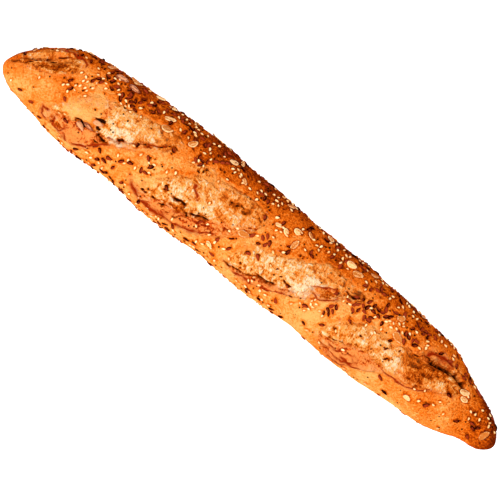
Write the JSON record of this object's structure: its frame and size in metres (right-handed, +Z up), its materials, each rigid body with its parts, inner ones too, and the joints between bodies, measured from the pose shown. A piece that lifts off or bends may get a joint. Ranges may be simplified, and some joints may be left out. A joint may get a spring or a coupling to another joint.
{
  "type": "baguette",
  "caption": "Long multigrain bread loaf with slanted slashes, a torn crumb in each, and seeds and cereal flakes baked on the crust.",
  "frame": {"origin": "on the flat sole, under the centre of the loaf's bounding box", "axes": "+X along the loaf from the blunt end to the narrow nose, +Y to the back, where the slashes end, +Z up"},
  "size_m": [0.5, 0.0846, 0.0575],
  "materials": {
    "crust": "golden baked crust, satin"
  },
  "bodies": {
    "root": {"loaf": "crust"}
  },
  "joints": []
}
